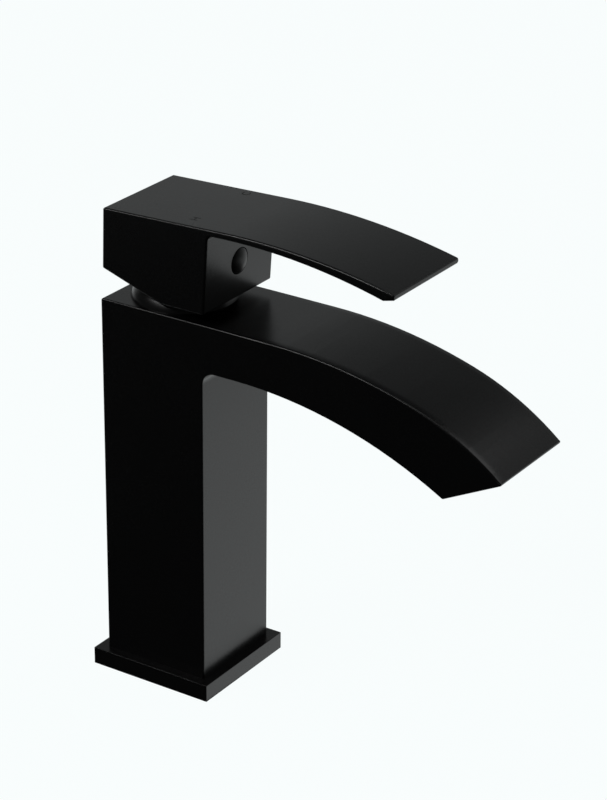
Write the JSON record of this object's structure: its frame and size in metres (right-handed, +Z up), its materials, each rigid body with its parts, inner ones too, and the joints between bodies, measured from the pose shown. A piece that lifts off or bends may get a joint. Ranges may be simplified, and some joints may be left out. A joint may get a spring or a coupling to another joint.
{
  "type": "basin mixer faucet",
  "caption": "Single-lever basin mixer faucet: rectangular pillar, flat arched spout and a flat lever that lifts and turns over a ceramic-disc cartridge, satin black.",
  "frame": {"origin": "axis of the tap hole on the deck, which is the middle of the base plate's underside", "axes": "+X along the spout towards the user, +Z up, -Y is the hot side"},
  "size_m": [0.1705, 0.0498, 0.1869],
  "materials": {
    "satin_black": "satin black coating on cast brass",
    "black_plastic": "satin black moulded plug",
    "brass": "machined, bare",
    "stainless_steel": "ground, bare",
    "cartridge_plastic": "moulded, off-white",
    "limit_plastic": "moulded, red",
    "aerator_plastic": "moulded, grey",
    "ceramic": "lapped alumina",
    "rubber": "black nitrile"
  },
  "bodies": {
    "body": {"faucet_body": "satin_black", "base_plate": "satin_black", "base_seal": "rubber", "cartridge_base": "cartridge_plastic", "inlet_port_seals": "rubber", "disc_gasket": "rubber", "fixed_disc": "ceramic", "cartridge_housing": "cartridge_plastic", "housing_o_ring": "rubber", "limit_ring": "limit_plastic", "cartridge_nut": "brass", "collar_o_ring": "rubber", "dome_collar": "satin_black", "aerator_housing": "satin_black", "aerator_seal": "rubber", "aerator_insert": "aerator_plastic"},
    "swivel": {"turning_guide": "cartridge_plastic", "stem_pin": "stainless_steel"},
    "slider": {"moving_disc": "ceramic", "disc_carrier": "cartridge_plastic"},
    "lever": {"cartridge_stem": "brass", "handle": "satin_black", "handle_screw": "stainless_steel", "handle_plug": "black_plastic"}
  },
  "joints": [
    {"name": "lever_swivel", "type": "hinge", "parent": "body", "child": "swivel", "pos_m": [0, 0, 0.15], "axis": [0, 0, 1], "range_deg": [-50, 50]},
    {"name": "lever_lift", "type": "hinge", "parent": "swivel", "child": "lever", "pos_m": [0, 0, 0.15], "axis": [0, -1, 0], "range_deg": [0, 25]},
    {"name": "disc_slide", "type": "slide", "parent": "swivel", "child": "slider", "axis": [1, 0, 0], "range_m": [0, 0.00563]}
  ],
  "couplings": [
    {"joint": "disc_slide", "follows": "lever_lift", "m_per_rad": 0.012897}
  ]
}
